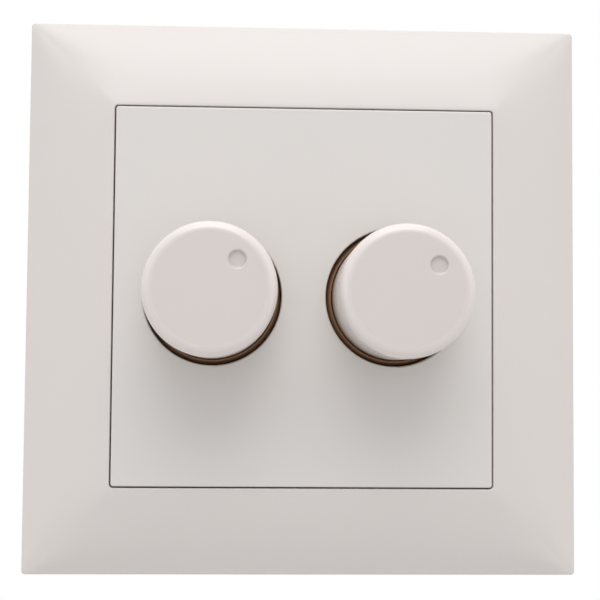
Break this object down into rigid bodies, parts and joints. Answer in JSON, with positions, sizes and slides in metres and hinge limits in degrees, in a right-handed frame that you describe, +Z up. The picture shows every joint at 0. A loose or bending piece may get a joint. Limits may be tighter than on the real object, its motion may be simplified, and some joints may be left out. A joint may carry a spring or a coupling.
{
  "type": "rotary dimmer switch",
  "caption": "Flush-mounted twin rotary dimmer: square white cover frame and centre plate with two round push-and-turn knobs, on a support plate with its electronics housing.",
  "frame": {"origin": "middle of the support plate's wall side, which lies in the wall's surface", "axes": "+Z is up, +X is to the right as the user sees it, -Y is towards the user and +Y goes into the wall box"},
  "size_m": [0.0816, 0.049, 0.0816],
  "materials": {
    "cover_white": "soft gloss, warm white",
    "knob_white": "soft gloss, warm white",
    "zinc_steel": "zinc plated, satin",
    "plated_steel": "zinc plated",
    "spring_steel": "bright drawn",
    "nickel": "nickel plated",
    "tinned": "tin plated",
    "bronze": "rolled spring strip",
    "silver": "fine silver pads on bronze",
    "fibre": "vulcanised fibre, matt",
    "film": "matt insulating film",
    "housing_black": "moulded, matt",
    "phenolic": "moulded, satin",
    "track_carbon": "carbon ink on laminate",
    "rotor_plastic": "natural, satin",
    "switch_black": "moulded, satin",
    "plunger_red": "moulded, satin",
    "laminate": "glass laminate with green resist",
    "aluminium": "mill finish",
    "epoxy_black": "moulded epoxy, matt",
    "film_cap": "potted box, gloss",
    "ferrite": "coated iron powder",
    "enamel_copper": "enamelled copper wire",
    "cap_sleeve": "shrunk sleeve",
    "trimmer_blue": "moulded, satin",
    "trimmer_white": "moulded, satin",
    "fuse_glass": "clear tube with plated caps",
    "resistor_body": "lacquered film resistors",
    "terminal_grey": "moulded, satin"
  },
  "bodies": {
    "insert": {"cover_frame": "cover_white", "centre_plate": "cover_white", "support_plate": "zinc_steel", "insulating_film": "film", "housing": "housing_black", "housing_screws": "plated_steel", "circuit_board": "laminate", "heat_spreader": "aluminium", "triacs": "epoxy_black", "triac_screws": "plated_steel", "film_capacitors": "film_cap", "choke_cores": "ferrite", "choke_windings": "enamel_copper", "electrolytic_capacitor": "cap_sleeve", "trimmer_bodies": "trimmer_blue", "fuse": "fuse_glass", "fuse_clips": "bronze", "resistors": "resistor_body", "terminal_block": "terminal_grey", "terminal_cages": "plated_steel", "terminal_screws": "plated_steel", "terminal_bars": "tinned", "left_seal_washer": "fibre", "left_bushing_nut": "nickel", "left_pot_bushing": "nickel", "left_pot_case": "phenolic", "left_pot_cover": "plated_steel", "left_pot_track": "track_carbon", "left_pot_pins": "tinned", "left_switch_case": "switch_black", "left_switch_spring": "spring_steel", "left_switch_contacts": "tinned", "right_seal_washer": "fibre", "right_bushing_nut": "nickel", "right_pot_bushing": "nickel", "right_pot_case": "phenolic", "right_pot_cover": "plated_steel", "right_pot_track": "track_carbon", "right_pot_pins": "tinned", "right_switch_case": "switch_black", "right_switch_spring": "spring_steel", "right_switch_contacts": "tinned"},
    "upper_trimmer": {"upper_trimmer_rotor": "trimmer_white"},
    "lower_trimmer": {"lower_trimmer_rotor": "trimmer_white"},
    "left_plunger": {"left_switch_plunger": "plunger_red", "left_switch_bridge": "silver"},
    "left_knob": {"left_knob": "knob_white", "left_knob_clip": "spring_steel", "left_shaft": "nickel", "left_shaft_ring": "spring_steel"},
    "left_rotor": {"left_pot_rotor": "rotor_plastic", "left_pot_wiper": "bronze"},
    "right_plunger": {"right_switch_plunger": "plunger_red", "right_switch_bridge": "silver"},
    "right_knob": {"right_knob": "knob_white", "right_knob_clip": "spring_steel", "right_shaft": "nickel", "right_shaft_ring": "spring_steel"},
    "right_rotor": {"right_pot_rotor": "rotor_plastic", "right_pot_wiper": "bronze"}
  },
  "joints": [
    {"name": "left_push", "type": "slide", "parent": "insert", "child": "left_plunger", "axis": [0, 1, 0], "range_m": [0, 0.001], "stiffness_N_per_m": 1500, "springref_m": -0.0015, "deforming": ["left_switch_spring"]},
    {"name": "left_knob_turn", "type": "hinge", "parent": "left_plunger", "child": "left_knob", "pos_m": [-0.0133, 0, 0], "axis": [0, 1, 0], "range_deg": [-178, 92]},
    {"name": "left_rotor_turn", "type": "hinge", "parent": "insert", "child": "left_rotor", "pos_m": [-0.0133, 0, 0], "axis": [0, 1, 0], "range_deg": [-178, 92]},
    {"name": "right_push", "type": "slide", "parent": "insert", "child": "right_plunger", "axis": [0, 1, 0], "range_m": [0, 0.001], "stiffness_N_per_m": 1500, "springref_m": -0.0015, "deforming": ["right_switch_spring"]},
    {"name": "right_knob_turn", "type": "hinge", "parent": "right_plunger", "child": "right_knob", "pos_m": [0.0133, 0, 0], "axis": [0, 1, 0], "range_deg": [-185, 85]},
    {"name": "right_rotor_turn", "type": "hinge", "parent": "insert", "child": "right_rotor", "pos_m": [0.0133, 0, 0], "axis": [0, 1, 0], "range_deg": [-185, 85]},
    {"name": "upper_trimmer_turn", "type": "hinge", "parent": "insert", "child": "upper_trimmer", "pos_m": [0, 0, 0.0043], "axis": [0, 1, 0], "range_deg": [-105, 105]},
    {"name": "lower_trimmer_turn", "type": "hinge", "parent": "insert", "child": "lower_trimmer", "pos_m": [0, 0, -0.0043], "axis": [0, 1, 0], "range_deg": [-105, 105]}
  ],
  "couplings": [
    {"joint": "left_rotor_turn", "follows": "left_knob_turn", "ratio": 1},
    {"joint": "right_rotor_turn", "follows": "right_knob_turn", "ratio": 1}
  ]
}
